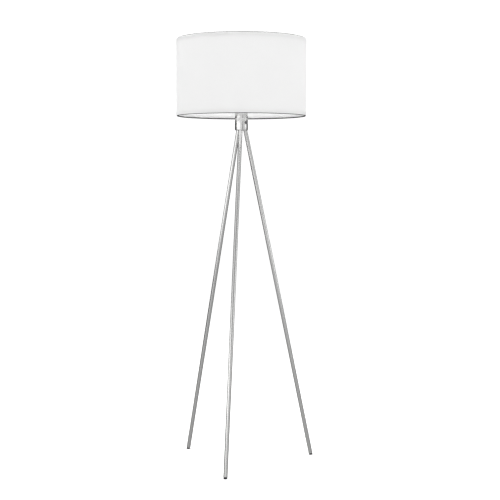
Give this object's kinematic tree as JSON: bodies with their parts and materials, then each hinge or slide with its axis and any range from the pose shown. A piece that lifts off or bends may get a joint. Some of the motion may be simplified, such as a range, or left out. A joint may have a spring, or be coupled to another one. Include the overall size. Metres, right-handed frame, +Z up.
{
  "type": "tripod floor lamp",
  "caption": "Tripod floor lamp: straight metal tube legs splay from a round hub with a push switch; a lampholder and bulb stand in a white fabric drum shade.",
  "frame": {"origin": "on the floor, under the lamp's own axis, at the middle of the circle through the soles", "axes": "+Z up along the lamp's axis; -Y is the front, where one leg stands; +X to the right"},
  "size_m": [0.468, 0.4943, 1.474],
  "materials": {
    "satin_nickel": "satin nickel plate on steel",
    "black_rubber": "matt black rubber",
    "charcoal_plastic": "charcoal grey moulded plastic",
    "white_fabric": "plain woven white polyester",
    "white_lining": "matt white film",
    "black_wire": "black lacquer on steel wire",
    "white_plastic": "moulded white thermoplastic",
    "white_ceramic": "unglazed white steatite",
    "zinc_steel": "bright zinc plate on steel",
    "brass": "plain brass",
    "brown_insulation": "brown wire insulation",
    "blue_insulation": "blue wire insulation",
    "black_insulation": "black wire insulation",
    "bulb_metal": "bright nickel-plated screw cap",
    "bulb_black_glass": "black glass insulator",
    "bulb_white_body": "white moulded bulb body",
    "bulb_opal": "opal diffuser"
  },
  "bodies": {
    "stand": {"bridge_plate": "zinc_steel", "bridge_screws": "zinc_steel", "cord_grommet": "black_rubber", "front_foot": "black_rubber", "front_leg": "satin_nickel", "front_leg_plug": "zinc_steel", "front_leg_stud": "zinc_steel", "holder_cap": "white_plastic", "holder_contact": "brass", "holder_insert": "white_ceramic", "holder_screws": "brass", "holder_shell": "brass", "holder_skirt": "white_plastic", "hub": "satin_nickel", "hub_cup": "satin_nickel", "left_foot": "black_rubber", "left_leg": "satin_nickel", "left_leg_plug": "zinc_steel", "left_leg_stud": "zinc_steel", "live_wire": "brown_insulation", "neutral_wire": "blue_insulation", "nipple": "zinc_steel", "nipple_nuts": "zinc_steel", "right_foot": "black_rubber", "right_leg": "satin_nickel", "right_leg_plug": "zinc_steel", "right_leg_stud": "zinc_steel", "shade_bottom_hoop": "black_wire", "shade_fabric": "white_fabric", "shade_lining": "white_lining", "shade_ring_nut": "white_plastic", "shade_spoke_1": "black_wire", "shade_spoke_2": "black_wire", "shade_spoke_3": "black_wire", "shade_top_hoop": "black_wire", "shade_washer": "black_wire", "switch_bezel": "charcoal_plastic", "switch_body": "charcoal_plastic", "switch_tabs": "brass", "switched_wire": "black_insulation", "terminal_block": "white_plastic", "terminal_screws": "brass"},
    "switch_button": {"switch_button": "charcoal_plastic"},
    "bulb": {"bulb_contact": "bulb_metal", "bulb_insulator": "bulb_black_glass", "bulb_cap": "bulb_metal", "bulb_body": "bulb_white_body", "bulb_diffuser": "bulb_opal"}
  },
  "joints": [
    {"name": "switch_press", "type": "slide", "parent": "stand", "child": "switch_button", "axis": [-0.866, 0.5, 0], "range_m": [0, 0.002], "stiffness_N_per_m": 250, "springref_m": -0.004},
    {"name": "bulb_lift", "type": "slide", "parent": "stand", "child": "bulb", "axis": [0, 0, 1], "range_m": [0, 0.03]}
  ]
}
